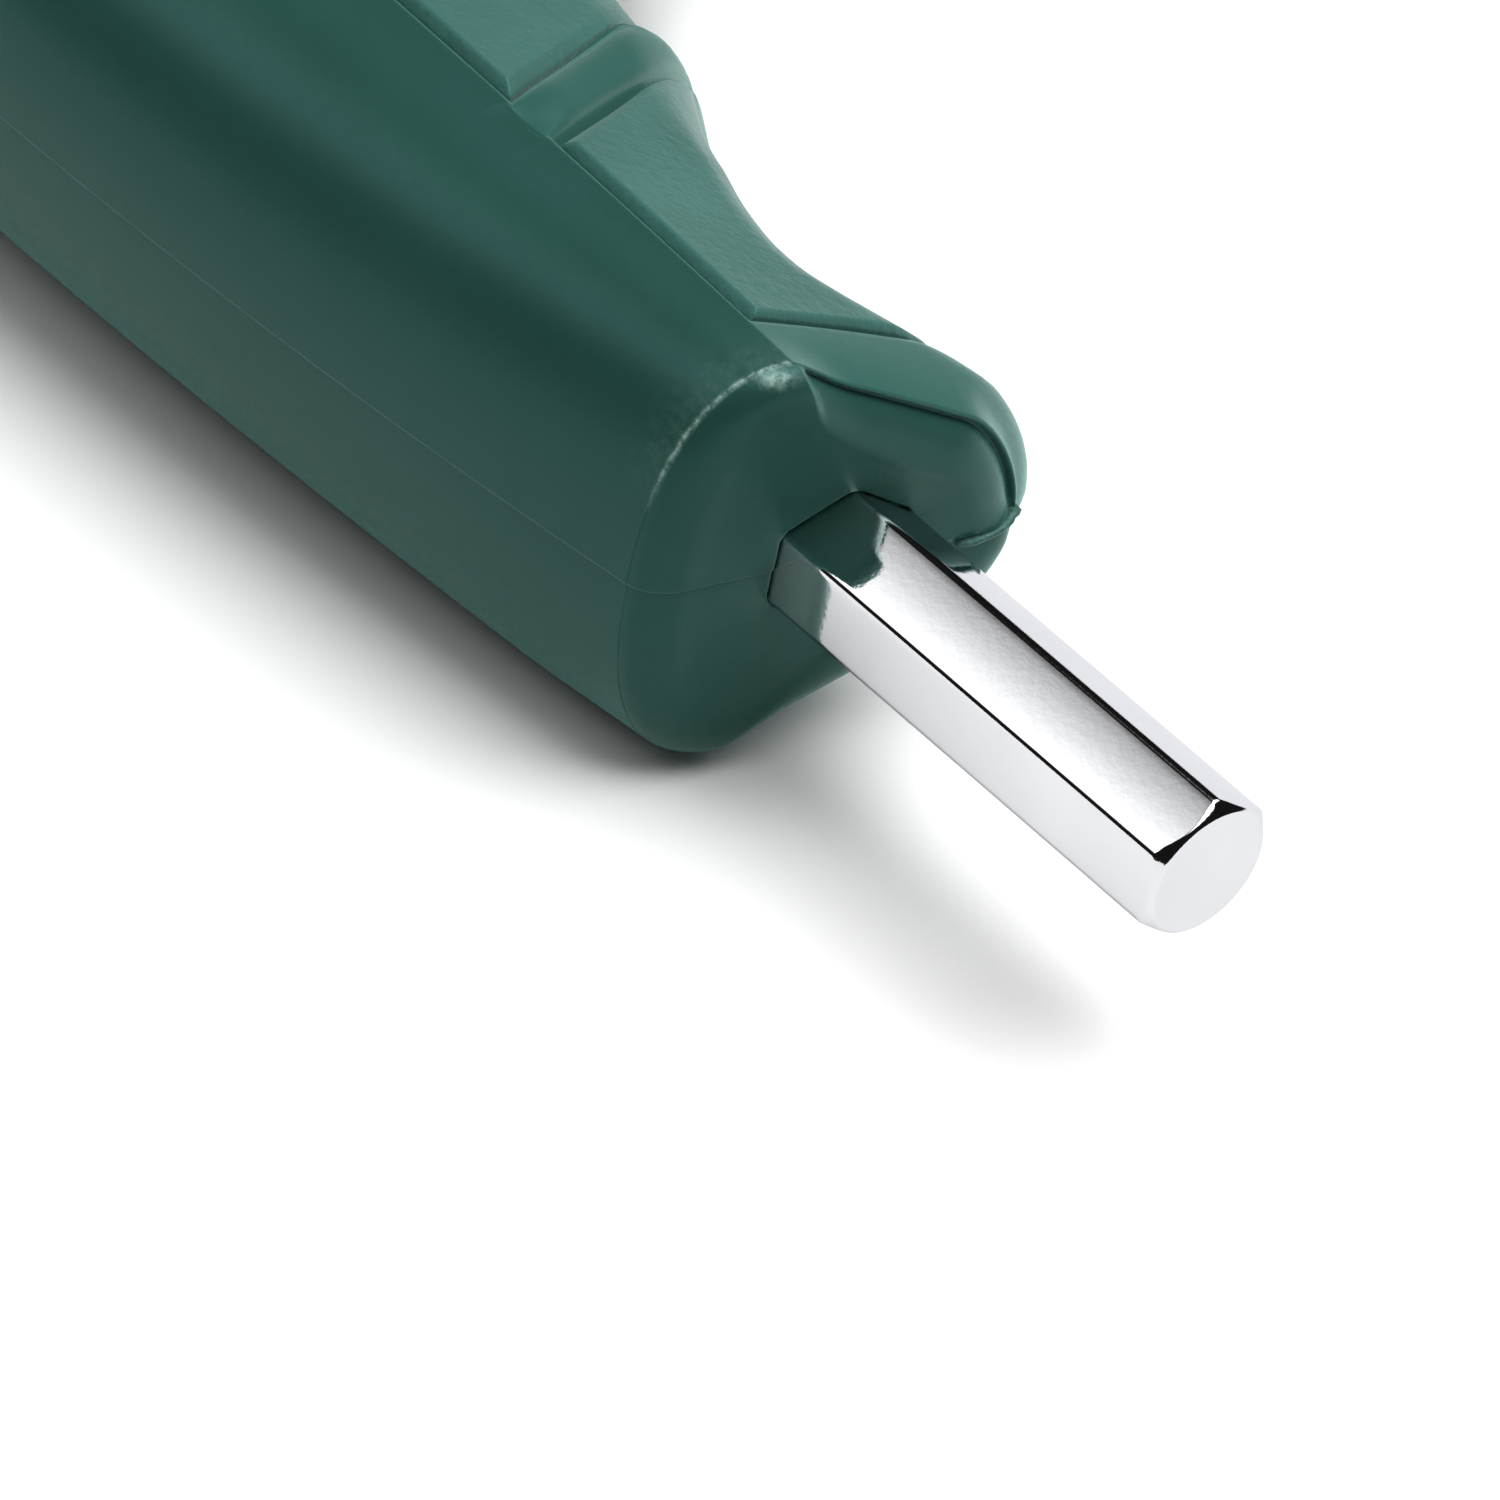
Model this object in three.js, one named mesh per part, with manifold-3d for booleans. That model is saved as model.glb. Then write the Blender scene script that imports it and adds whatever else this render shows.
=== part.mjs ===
// T-handle hex key: a plated hex bar bent into an L, moulded into a plastic T grip with inlaid pads.
// Millimetres. +X runs along the grip to the short arm's tip, +Y along the long arm, +Z up off the table.
import * as THREE from "three";
import { mergeVertices } from "three/addons/utils/BufferGeometryUtils.js";
import Module from "manifold-3d";

const wasm = await Module();
wasm.setup();

// Hex bar
const acrossFlats = 6;
const cornerRadius = 0.5;
const shortReach = 68; // from the long arm's axis to the short arm's tip
const longReach = 178; // from the short arm's axis to the long arm's tip
const bendRadius = 10; // of the bar's centre line
const tipDisc = 5.7; // diameter of the flat end
const tipBevel = 0.45; // length of the turned bevel at the bar's corners
const barClearance = 0.3; // shrinkage gap between the bar and the grip

// Grip seen from above: the palm edge bows out, the finger edge has two scoops on each side of the hub
const palmMiddle = 12.6; // from the short arm's axis to the palm edge, at the long arm
const palmEnd = 9.1; // the same at the grip's ends
const rimReach = 44.65; // from the long arm's axis to the end's edge, on the short arm's axis
const endSlant = 12.3; // degrees that the ends lean out towards the fingers
const lipDepth = 10.8; // from the short arm's axis to the finger edge, at the end's swollen lip
const rimDepth = 8.6; // the same where the lip meets the end
const waistDepth = 6.1; // the same at the outer scoop's deepest place
const cuspDepth = 11.6; // the same at the point between the two scoops
const lipLength = 2.95; // from the lip's widest place to the end
const waistReach = 34.9; // from the long arm's axis to the outer scoop's deepest place
const cuspReach = 23.1; // the same to the point between the two scoops
const hubHalfWidth = 8;
const hubReach = 28; // from the short arm's axis to the hub's flat end
const hubScoop = 13.3; // radius of the scoop beside the hub

// Grip in thickness: a long ridge on each face, with a flat that falls from the ridge to the fingers
const ridgeSetbackMiddle = 2.8; // from the short arm's axis to the ridge, towards the palm, at the long arm
const ridgeSetbackEnd = 3.6; // the same at the grip's ends
const ridgeMiddle = 10.5; // half the grip's thickness at the ridge, at the long arm
const ridgeEnd = 10.1; // the same at the grip's ends
const hubFall = 7; // degrees that the flat falls along the hub
const armFall = 19.75; // the same at the end pads' outer edge
const fallGrowth = 1.9; // how late the fall grows along the arm, where 1 is evenly
const flatBow = 167; // radius of the flat's crown across the arm
const hubNose = 5.6; // rounding of the finger edge beside the hub
const wingNose = 3.4; // the same where the outer scoop begins
const waistNose = 4.4; // the same past the outer scoop's deepest place
const lipNose = 3.1; // the same at the end's lip
const endRoll = 0.4; // how far the flat rolls down to the end's edge
const rollFade = 3; // from the ridge to where the roll is full
const endBevel = 1.9; // width of the rounded band round the end face
const endBulge = 1.05; // how far the end face stands out from its edge

// Pads and the ribs between them
const pocketDepth = 1.6;
const pocketFloorGap = 0.3;
const padGroove = 0.3; // open groove round each pad
const padRidgeMargin = 0.45; // frame left between the ridge and a pocket
const padFingerMargin = 1.2; // frame left between the finger edge and a pocket
const wingPadReach = 40.65; // from the long arm's axis to the outer edge of an end pocket, at the ridge
const wingPadSlant = 5.5; // degrees that this edge leans out towards the fingers
const endFrame = 0.65; // frame left outside an end pocket before the roll
const hubPadMargin = 3; // frame left at the hub's end
const ribReach = 26.6; // from the long arm's axis to the rib's centre line at the ridge
const ribLean = 21; // degrees that the ribs lean in towards the hub
const ribWidth = 2.65; // frame left between two pockets
const ribProud = 0.45; // how far the rib swells above the frame
const ribRise = 2.4; // from the ridge to where the swell is full
const ribFade = 4; // height over the parting plane where the swell starts to fade

// Fineness of the facets
const hubStations = 14;
const ribStations = 4;
const wingStations = 8;
const endStations = 3;
const edgeSteps = 160;
const outlineSteps = 26;
const fingerSteps = 9;
const palmSteps = 6;
const bendSteps = 8;
const bevelSteps = 3;
const roundSides = 36;

const rad = THREE.MathUtils.degToRad;
const lerp = THREE.MathUtils.lerp;

// A closed skin over rings of points that match one to one, with a flat fan at each end.
// Each ring runs anticlockwise about the direction that the rings follow one another.
function loft(rings) {
  const count = rings[0].length;
  const points = rings.flat();
  const faces = [];
  for (let row = 0; row + 1 < rings.length; row++) {
    for (let k = 0; k < count; k++) {
      const a = row * count + k;
      const b = row * count + ((k + 1) % count);
      faces.push(a, b, b + count, a, b + count, a + count);
    }
  }
  for (const row of [0, rings.length - 1]) {
    const middle = new THREE.Vector3();
    rings[row].forEach((point) => middle.addScaledVector(point, 1 / count));
    const hub = points.push(middle) - 1;
    for (let k = 0; k < count; k++) {
      const a = row * count + k;
      const b = row * count + ((k + 1) % count);
      faces.push(hub, row ? a : b, row ? b : a);
    }
  }
  return new THREE.BufferGeometry().setFromPoints(points).setIndex(faces);
}

// A straight-walled block over a plan outline, from the parting plane up.
function prism(outline, height) {
  const shape = new THREE.Shape(outline);
  return new THREE.ExtrudeGeometry(shape, { depth: height, bevelEnabled: false });
}

// A geometry as a solid that can be joined and cut.
function solid(geometry) {
  const bare = geometry.clone();
  bare.deleteAttribute("normal");
  bare.deleteAttribute("uv");
  const merged = mergeVertices(bare, 1e-4);
  return new wasm.Manifold(
    new wasm.Mesh({
      numProp: 3,
      vertProperties: new Float32Array(merged.attributes.position.array),
      triVerts: new Uint32Array(merged.index.array),
    }),
  );
}

// A solid back as a geometry.
function geometryOf(made) {
  const mesh = made.getMesh();
  const geometry = new THREE.BufferGeometry();
  geometry.setAttribute("position", new THREE.BufferAttribute(mesh.vertProperties, 3));
  geometry.setIndex(new THREE.BufferAttribute(mesh.triVerts, 1));
  geometry.computeVertexNormals();
  return geometry;
}

// A geometry mirrored in the planes named by its signs, with its faces still pointing out.
function mirrored(geometry, x, z) {
  const copy = geometry.clone().scale(x, 1, z);
  if (x * z > 0) return copy;
  const flat = copy.index ? copy : mergeVertices(copy);
  const order = Array.from(flat.index.array);
  for (let i = 0; i < order.length; i += 3) order.splice(i, 3, order[i], order[i + 2], order[i + 1]);
  return flat.setIndex(order);
}

// Hex bar, with a corner of the hexagon up and two flats on the inside and outside of the bend

function hexOutline(flats, radius) {
  const outline = [];
  const arcCentre = (flats / 2 - radius) / Math.cos(rad(30));
  for (let corner = 0; corner < 6; corner++) {
    const middle = rad(90 + 60 * corner);
    for (const swing of [-30, 0, 30]) {
      const turn = middle + rad(swing);
      outline.push(
        new THREE.Vector2(
          arcCentre * Math.cos(middle) + radius * Math.cos(turn),
          arcCentre * Math.sin(middle) + radius * Math.sin(turn),
        ),
      );
    }
  }
  return outline;
}

function bentBar(flats, radius) {
  const outline = hexOutline(flats, radius);
  // Each stop is a place on the centre line and the angle of the bar's travel there.
  const stops = [{ x: shortReach, y: 0, turn: Math.PI }];
  for (let step = 0; step <= bendSteps; step++) {
    const swing = (Math.PI / 2) * (step / bendSteps);
    stops.push({
      x: bendRadius - bendRadius * Math.sin(swing),
      y: bendRadius - bendRadius * Math.cos(swing),
      turn: Math.PI - swing,
    });
  }
  stops.push({ x: 0, y: longReach, turn: Math.PI / 2 });
  return loft(
    stops.map(({ x, y, turn }) =>
      outline.map(
        ({ x: across, y: up }) =>
          new THREE.Vector3(x - across * Math.sin(turn), y + across * Math.cos(turn), up),
      ),
    ),
  );
}

// The ring of metal that is turned off a tip, with the tip's flat at height zero on the Y axis.
function tipCutter() {
  const discRadius = tipDisc / 2;
  const cornerReach = (acrossFlats / 2 - cornerRadius) / Math.cos(rad(30)) + cornerRadius;
  const outside = cornerReach + acrossFlats;
  const depth = (tipBevel * (outside - discRadius)) / (cornerReach - discRadius);
  const profile = [
    new THREE.Vector2(discRadius, 0),
    new THREE.Vector2(outside, -depth),
    new THREE.Vector2(outside, acrossFlats),
    new THREE.Vector2(discRadius, acrossFlats),
    new THREE.Vector2(discRadius, 0),
  ];
  return new THREE.LatheGeometry(profile, roundSides);
}

const bar = solid(bentBar(acrossFlats, cornerRadius))
  .subtract(solid(tipCutter().translate(0, longReach, 0)))
  .subtract(solid(tipCutter().rotateZ(-Math.PI / 2).translate(shortReach, 0, 0)));

// Grip: sections that fan out from the middle to the slanted ends, on three rails

const slantPerDepth = Math.tan(rad(endSlant));
const endX = (y) => rimReach + slantPerDepth * y;
const ridgeEndX = endX(-ridgeSetbackEnd);
const ridgeY = (x) => -lerp(ridgeSetbackMiddle, ridgeSetbackEnd, (x / ridgeEndX) ** 2);
const ridgeHeight = (x) => lerp(ridgeMiddle, ridgeEnd, (x / ridgeEndX) ** 2);
const scoopFoot = hubHalfWidth + hubScoop;
const lipReach = endX(rimDepth) - lipLength;

// Lines across the arm: the rib's centre line and the outer edge of an end pocket
const ribSlope = Math.tan(rad(ribLean));
const ribX = (y) => ribReach - ribSlope * (y + ridgeSetbackEnd);
const acrossRib = 1 / Math.cos(rad(ribLean));
const wingPadSlope = Math.tan(rad(wingPadSlant));
const wingPadX = (y) => wingPadReach + wingPadSlope * (y + ridgeSetbackEnd);

// The finger edge of one half, from the hub's middle to the end. It overshoots the hub's flat end,
// which is cut afterwards.
function fingerEdge() {
  const hubOvershoot = hubReach + hubNose;
  const scoopTop = cuspDepth + hubScoop;
  const hubCorner = hubHalfWidth / 4;
  const edge = new THREE.Path();
  edge.moveTo(0, hubOvershoot);
  edge.lineTo(hubHalfWidth - hubCorner, hubOvershoot);
  edge.quadraticCurveTo(hubHalfWidth, hubOvershoot, hubHalfWidth, hubOvershoot - hubCorner);
  edge.lineTo(hubHalfWidth, scoopTop);
  edge.absarc(scoopFoot, scoopTop, hubScoop, Math.PI, 1.5 * Math.PI, false);
  edge.lineTo(cuspReach, cuspDepth);
  edge.bezierCurveTo(
    lerp(cuspReach, waistReach, 0.26),
    lerp(cuspDepth, waistDepth, 0.38),
    lerp(cuspReach, waistReach, 0.63),
    waistDepth,
    waistReach,
    waistDepth,
  );
  edge.bezierCurveTo(
    lerp(waistReach, lipReach, 0.4),
    waistDepth,
    lerp(waistReach, lipReach, 0.74),
    lipDepth,
    lipReach,
    lipDepth,
  );
  edge.quadraticCurveTo(lipReach + 0.7 * lipLength, lipDepth, lipReach + lipLength, rimDepth);
  return edge;
}

const fingerPath = fingerEdge();
const fingerLine = fingerPath.getSpacedPoints(edgeSteps);

// How far a place on the plan lies inside the finger edge.
function insideFingerEdge(x, y) {
  const place = new THREE.Vector3(x, y, 0);
  const nearest = new THREE.Vector3();
  const run = new THREE.Line3();
  let least = Infinity;
  for (let i = 0; i < edgeSteps; i++) {
    run.start.set(fingerLine[i].x, fingerLine[i].y, 0);
    run.end.set(fingerLine[i + 1].x, fingerLine[i + 1].y, 0);
    run.closestPointToPoint(place, true, nearest);
    least = Math.min(least, nearest.distanceTo(place));
  }
  return least;
}

// Rounding of the finger edge, which changes along the arm.
const noses = [
  { x: scoopFoot, radius: hubNose },
  { x: lerp(cuspReach, waistReach, 0.6), radius: wingNose },
  { x: lerp(waistReach, lipReach, 0.25), radius: waistNose },
  { x: rimReach, radius: lipNose },
];

function noseRadius(x) {
  const next = noses.findIndex((nose) => nose.x > x);
  if (next === 0) return hubNose;
  if (next < 0) return lipNose;
  const before = noses[next - 1];
  return lerp(before.radius, noses[next].radius, (x - before.x) / (noses[next].x - before.x));
}

// Height of the upper face above the parting plane, on the fingers' side of the ridge.
function faceHeight(x, y) {
  const fallStart = hubHalfWidth / 2;
  const along = Math.max(x - fallStart, 0) / (wingPadReach - fallStart);
  const fall = lerp(Math.tan(rad(hubFall)), Math.tan(rad(armFall)), along ** fallGrowth);
  const down = y - ridgeY(x);
  const flat = ridgeHeight(x) - fall * down - down ** 2 / (2 * flatBow);
  const inside = Math.min(insideFingerEdge(x, y) / noseRadius(x), 1);
  const rollStart = wingPadX(y) + endFrame;
  const roll = Math.max(x - rollStart, 0) / (endX(y) - rollStart);
  const rolled = endRoll * roll ** 2 * THREE.MathUtils.smoothstep(down, 0, rollFade);
  return Math.max(flat * Math.sqrt(1 - (1 - inside) ** 2) - rolled, 0);
}

function palmPlace(share) {
  const x = share * endX(-palmEnd);
  return new THREE.Vector2(x, lerp(-palmMiddle, -palmEnd, share ** 2));
}

// Where a line across the arm starts on the ridge, and its share of the finger edge where it ends.
function lineAcross(lineX) {
  const gaps = fingerLine.map(({ x, y }) => x - lineX(y));
  const next = gaps.findIndex((gap) => gap >= 0);
  const part = gaps[next - 1] / (gaps[next - 1] - gaps[next]);
  return { ridge: lineX(ridgeY(lineX(-ridgeSetbackEnd))), edge: (next - 1 + part) / edgeSteps };
}

// The sections of one half, from the middle to the end: they follow the rib and the end pocket's edge.
function armSections() {
  const ribSide = (ribWidth / 2) * acrossRib;
  const ribInner = lineAcross((y) => ribX(y) - ribSide);
  const ribOuter = lineAcross((y) => ribX(y) + ribSide);
  const rollStart = lineAcross((y) => wingPadX(y) + endFrame);
  const middle = { ridge: 0, edge: 0 };
  const end = { ridge: ridgeEndX, edge: 1 };
  const runs = [
    { from: middle, to: ribInner, steps: hubStations, swell: 0 },
    { from: ribInner, to: ribOuter, steps: ribStations, swell: ribProud },
    { from: ribOuter, to: rollStart, steps: wingStations, swell: 0 },
    { from: rollStart, to: end, steps: endStations, swell: 0 },
  ];
  const sections = [{ ...middle, swell: 0 }];
  for (const { from, to, steps, swell } of runs) {
    for (let step = 1; step <= steps; step++) {
      const share = step / steps;
      sections.push({
        ridge: lerp(from.ridge, to.ridge, share),
        edge: lerp(from.edge, to.edge, share),
        swell: swell * Math.sin(Math.PI * share),
      });
    }
  }
  return sections;
}

const sections = armSections();
const lastSection = sections.length - 1;

// Upper half of one section, from the finger edge over the ridge to the palm edge.
function halfSection(section) {
  const finger = fingerPath.getPoint(section.edge);
  const ridge = new THREE.Vector2(section.ridge, ridgeY(section.ridge));
  const palm = palmPlace(section.ridge / ridgeEndX);
  const top = ridgeHeight(ridge.x);
  const half = [];
  for (let step = 0; step <= fingerSteps; step++) {
    const inward = 1 - Math.cos((Math.PI / 2) * (step / fingerSteps));
    const place = finger.clone().lerp(ridge, inward);
    const height = step ? faceHeight(place.x, place.y) : 0;
    const rise = THREE.MathUtils.smoothstep(place.y - ridge.y, 0, ribRise);
    const swell = section.swell * rise * Math.min(height / ribFade, 1);
    half.push(new THREE.Vector3(place.x, place.y, height + swell));
  }
  const shoulder = ridge.clone().lerp(palm, 0.66);
  const cheek = new THREE.CubicBezierCurve3(
    new THREE.Vector3(ridge.x, ridge.y, top),
    new THREE.Vector3(shoulder.x, shoulder.y, top),
    new THREE.Vector3(palm.x, palm.y, 0.62 * top),
    new THREE.Vector3(palm.x, palm.y, 0),
  );
  half.push(...cheek.getPoints(palmSteps).slice(1));
  return half;
}

// A whole section, counted from the middle to the short arm's end, or back from it with a minus sign.
function gripRing(station) {
  const side = Math.sign(station) || 1;
  const upper = halfSection(sections[Math.abs(station)]);
  upper.forEach((point) => (point.x *= side));
  const lower = upper.slice(1, -1).reverse();
  return [...upper, ...lower.map(({ x, y, z }) => new THREE.Vector3(x, y, -z))];
}

// The rounded band round an end: rings that draw in and step out towards the end face.
function endRings(side) {
  const edge = gripRing(side * lastSection);
  const middle = new THREE.Vector3(side * rimReach, 0, 0);
  const out = new THREE.Vector3(side * Math.cos(rad(endSlant)), -Math.sin(rad(endSlant)), 0);
  const rings = [];
  for (let step = 1; step <= bevelSteps; step++) {
    const swing = (Math.PI / 2) * (step / bevelSteps);
    rings.push(
      edge.map((point) => {
        const inward = middle.clone().sub(point).setLength(endBevel * (1 - Math.cos(swing)));
        return point.clone().add(inward).addScaledVector(out, endBulge * Math.sin(swing));
      }),
    );
  }
  return rings;
}

const gripRings = [...endRings(-1).reverse()];
for (let station = -lastSection; station <= lastSection; station++) {
  gripRings.push(gripRing(station));
}
gripRings.push(...endRings(1));
const gripSkin = loft(gripRings);

// The grip's skin raised or lowered, to give a pocket its floor and a pad its top and underside.
const skinAt = (lift) => solid(gripSkin.clone().translate(0, 0, lift));

// Plan outlines of the pockets and pads; an inset of zero gives the pocket

const fingerRail = fingerPath.getSpacedPoints(outlineSteps);

function insetFingerRail(inset) {
  return fingerRail.slice(0, -1).map((point, i) => {
    const run = fingerRail[i + 1].clone().sub(fingerRail[Math.max(i - 1, 0)]).normalize();
    return new THREE.Vector2(point.x + run.y * inset, point.y - run.x * inset);
  });
}

// The part of a rail between two lines, with its ends on them. Places before a line are below zero.
function railBetween(rail, offFirst, offLast) {
  const kept = [];
  for (let i = 0; i + 1 < rail.length; i++) {
    const next = rail[i + 1];
    for (const offLine of [offFirst, offLast]) {
      const before = offLine(rail[i]);
      const after = offLine(next);
      if (before < 0 && after >= 0) kept.push(rail[i].clone().lerp(next, before / (before - after)));
    }
    if (offFirst(next) > 0 && offLast(next) < 0) kept.push(next);
  }
  return kept;
}

function wingOutline(inset) {
  const ribSide = (ribWidth / 2 + inset) * acrossRib;
  const inner = (y) => ribX(y) + ribSide;
  const outer = (y) => wingPadX(y) - inset / Math.cos(rad(wingPadSlant));
  const innerTop = ridgeY(ribReach) + padRidgeMargin + inset;
  const outerTop = ridgeY(wingPadReach) + padRidgeMargin + inset;
  const foot = railBetween(
    insetFingerRail(padFingerMargin + inset),
    ({ x, y }) => x - inner(y),
    ({ x, y }) => x - outer(y),
  );
  return [
    new THREE.Vector2(inner(innerTop), innerTop),
    new THREE.Vector2(outer(outerTop), outerTop),
    ...foot.reverse(),
  ];
}

function centreOutline(inset) {
  const ribSide = (ribWidth / 2 + inset) * acrossRib;
  const bottom = hubReach - hubPadMargin - inset;
  const outer = (y) => ribX(y) - ribSide;
  const middleTop = ridgeY(0) + padRidgeMargin + inset;
  const outerTop = ridgeY(ribReach) + padRidgeMargin + inset;
  const foot = railBetween(
    insetFingerRail(padFingerMargin + inset),
    ({ y }) => bottom - y,
    ({ x, y }) => x - outer(y),
  );
  const half = [...foot, new THREE.Vector2(outer(outerTop), outerTop)];
  const otherHalf = half.map(({ x, y }) => new THREE.Vector2(-x, y)).reverse();
  return [...half, new THREE.Vector2(0, middleTop), ...otherHalf];
}

const overTheGrip = 2 * ridgeMiddle;

// A pad fills its pocket, less the groove round it and the gap under it.
function padShape(outline) {
  const underside = skinAt(pocketFloorGap - pocketDepth);
  return geometryOf(solid(prism(outline, overTheGrip)).intersect(skinAt(0)).subtract(underside));
}

const wingPad = padShape(wingOutline(padGroove));
const centrePad = padShape(centreOutline(padGroove));
const faces = [1, -1];
const ends = [1, -1];

function gripSolid() {
  const pocketFloor = skinAt(-pocketDepth);
  const wingPocket = geometryOf(solid(prism(wingOutline(0), overTheGrip)).subtract(pocketFloor));
  const centrePocket = geometryOf(solid(prism(centreOutline(0), overTheGrip)).subtract(pocketFloor));
  let grip = solid(gripSkin);
  for (const face of faces) {
    for (const end of ends) {
      grip = grip.subtract(solid(mirrored(wingPocket, end, face)));
    }
    grip = grip.subtract(solid(mirrored(centrePocket, 1, face)));
  }
  const hubWaste = new THREE.BoxGeometry(4 * hubHalfWidth, 2 * hubNose, 4 * ridgeMiddle);
  grip = grip.subtract(solid(hubWaste.translate(0, hubReach + hubNose, 0)));
  return grip.subtract(solid(bentBar(acrossFlats + 2 * barClearance, cornerRadius + barClearance)));
}

// Assembly, with the origin under the middle of its box

const key = new THREE.Group();

function addPiece(name, geometry, color, roughness, metalness) {
  const material = new THREE.MeshStandardMaterial({ color, roughness, metalness });
  const mesh = new THREE.Mesh(geometry, material);
  mesh.name = name;
  key.add(mesh);
}

const gripGreen = 0x1f5a4c;
const padGreen = 0x3d6c5e;
const chrome = 0xdfe2e6;

addPiece("hex_key", geometryOf(bar), chrome, 0.08, 1);
addPiece("handle_body", geometryOf(gripSolid()), gripGreen, 0.4, 0);
for (const face of faces) {
  const where = face > 0 ? "upper" : "lower";
  addPiece(`centre_pad_${where}`, mirrored(centrePad, 1, face), padGreen, 0.6, 0);
  addPiece(`stub_end_pad_${where}`, mirrored(wingPad, 1, face), padGreen, 0.6, 0);
  addPiece(`plain_end_pad_${where}`, mirrored(wingPad, -1, face), padGreen, 0.6, 0);
}

const box = new THREE.Box3().setFromObject(key);
const middle = box.getCenter(new THREE.Vector3());
key.position.set(-middle.x, -middle.y, -box.min.z);

export default key;
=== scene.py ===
import math

import bmesh
import bpy
import numpy as np
from mathutils import Matrix, Vector


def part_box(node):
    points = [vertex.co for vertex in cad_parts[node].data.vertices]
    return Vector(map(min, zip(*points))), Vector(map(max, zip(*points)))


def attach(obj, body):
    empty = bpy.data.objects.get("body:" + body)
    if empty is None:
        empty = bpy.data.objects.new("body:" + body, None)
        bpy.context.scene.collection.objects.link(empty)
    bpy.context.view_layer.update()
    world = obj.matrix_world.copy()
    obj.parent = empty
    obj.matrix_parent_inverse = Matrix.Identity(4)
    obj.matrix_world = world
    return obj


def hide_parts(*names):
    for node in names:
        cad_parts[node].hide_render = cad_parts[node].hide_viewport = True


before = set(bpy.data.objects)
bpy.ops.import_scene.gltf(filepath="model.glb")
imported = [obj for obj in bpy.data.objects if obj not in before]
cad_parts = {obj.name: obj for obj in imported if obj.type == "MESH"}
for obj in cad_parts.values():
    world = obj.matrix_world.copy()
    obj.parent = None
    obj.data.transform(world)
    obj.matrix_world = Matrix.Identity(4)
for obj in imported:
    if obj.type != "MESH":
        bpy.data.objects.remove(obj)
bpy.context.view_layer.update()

# The hex bar: one steel bar of 6 mm hexagon, bent cold into a long and a short arm and plated bright.
# Polishing leaves its flats a little crowned and its corners round, and both ends are turned to a cone.
# The grip is moulded round the bend: the short arm leaves it at one end, and the long arm at the hub.

bar_low, bar_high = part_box("hex_key")
grip_low, grip_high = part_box("handle_body")
half_flats = 3.0
corner_round = 0.5
flat_crown = math.radians(2.2)
bend_radius = 10.0
tip_disc = 2.85
tip_slope = 1.05
tip_edge = 0.06
tip_blend = 0.05
axes_cross = Vector((bar_low.x + half_flats / 1000, bar_low.y + half_flats / 1000,
                     (grip_low.z + grip_high.z) / 2))
short_reach = (bar_high.x - axes_cross.x) * 1000
long_reach = (bar_high.y - axes_cross.y) * 1000


def in_row(points):
    """Points in millimetres from the crossing of the two arms' axes, as metres in the row frame."""
    return np.asarray(points, float) / 1000 + np.array(axes_cross)


def make_piece(name, points, faces, finish, weld=True, marks=()):
    """One closed, smooth-shaded piece from points in millimetres, with named marks on its points."""
    mesh = bpy.data.meshes.new(name)
    mesh.from_pydata(in_row(points).tolist(), [], [list(map(int, face)) for face in faces])
    for mark, values in dict(marks).items():
        mesh.attributes.new(mark, "FLOAT", "POINT").data.foreach_set("value", list(values))
    body = bmesh.new()
    body.from_mesh(mesh)
    if weld:
        bmesh.ops.remove_doubles(body, verts=body.verts, dist=4e-7)
        bmesh.ops.dissolve_degenerate(body, edges=body.edges, dist=1e-8)
    bmesh.ops.recalc_face_normals(body, faces=body.faces)
    body.to_mesh(mesh)
    body.free()
    mesh.polygons.foreach_set("use_smooth", [True] * len(mesh.polygons))
    mesh.materials.append(finish)
    piece = bpy.data.objects.new(name, mesh)
    bpy.context.scene.collection.objects.link(piece)
    return piece


def band_faces(first, second, count, closed):
    """Quads between two rows of points that start at the given numbers."""
    faces = []
    for k in range(count if closed else count - 1):
        n = (k + 1) % count
        faces.append((first + k, first + n, second + n, second + k))
    return faces


def node_adder(tree):
    """A function that adds one node to a tree, with its settings, values and links."""
    def add(kind, values=(), **settings):
        node = tree.nodes.new(kind)
        for key, value in settings.items():
            setattr(node, key, value)
        for socket, value in dict(values).items():
            if isinstance(value, bpy.types.NodeSocket):
                tree.links.new(value, node.inputs[socket])
            else:
                node.inputs[socket].default_value = value
        return node

    return add


def new_finish(name):
    """A material and its shader, with functions that add a node and join one to the shader."""
    finish = bpy.data.materials.new(name)
    finish.use_nodes = True
    tree = finish.node_tree
    shader = tree.nodes["Principled BSDF"]

    def join(output, socket):
        tree.links.new(output, shader.inputs[socket])

    return finish, shader, node_adder(tree), join


def hexagon_outline():
    """The bar's section: six crowned flats joined by round corners, corners up and down."""
    swing = math.sin(flat_crown) + math.tan(math.pi / 6) * (1 - math.cos(flat_crown))
    reach = math.tan(math.pi / 6) * (half_flats - corner_round * math.cos(flat_crown))
    crown_radius = (reach + corner_round * math.sin(flat_crown)) / swing
    corner_out = half_flats - crown_radius * (1 - math.cos(flat_crown)) - corner_round * math.cos(flat_crown)
    corner_along = (crown_radius - corner_round) * math.sin(flat_crown)
    side = [(half_flats - crown_radius * (1 - math.cos(turn)), crown_radius * math.sin(turn))
            for turn in np.linspace(-flat_crown, flat_crown, 11)]
    side += [(corner_out + corner_round * math.cos(turn), corner_along + corner_round * math.sin(turn))
             for turn in np.linspace(flat_crown, math.pi / 3 - flat_crown, 11)[1:-1]]
    points = []
    for middle in np.arange(6) * math.pi / 3:
        points += [(out * math.cos(middle) - along * math.sin(middle),
                    out * math.sin(middle) + along * math.cos(middle)) for out, along in side]
    return np.array(points)


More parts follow.
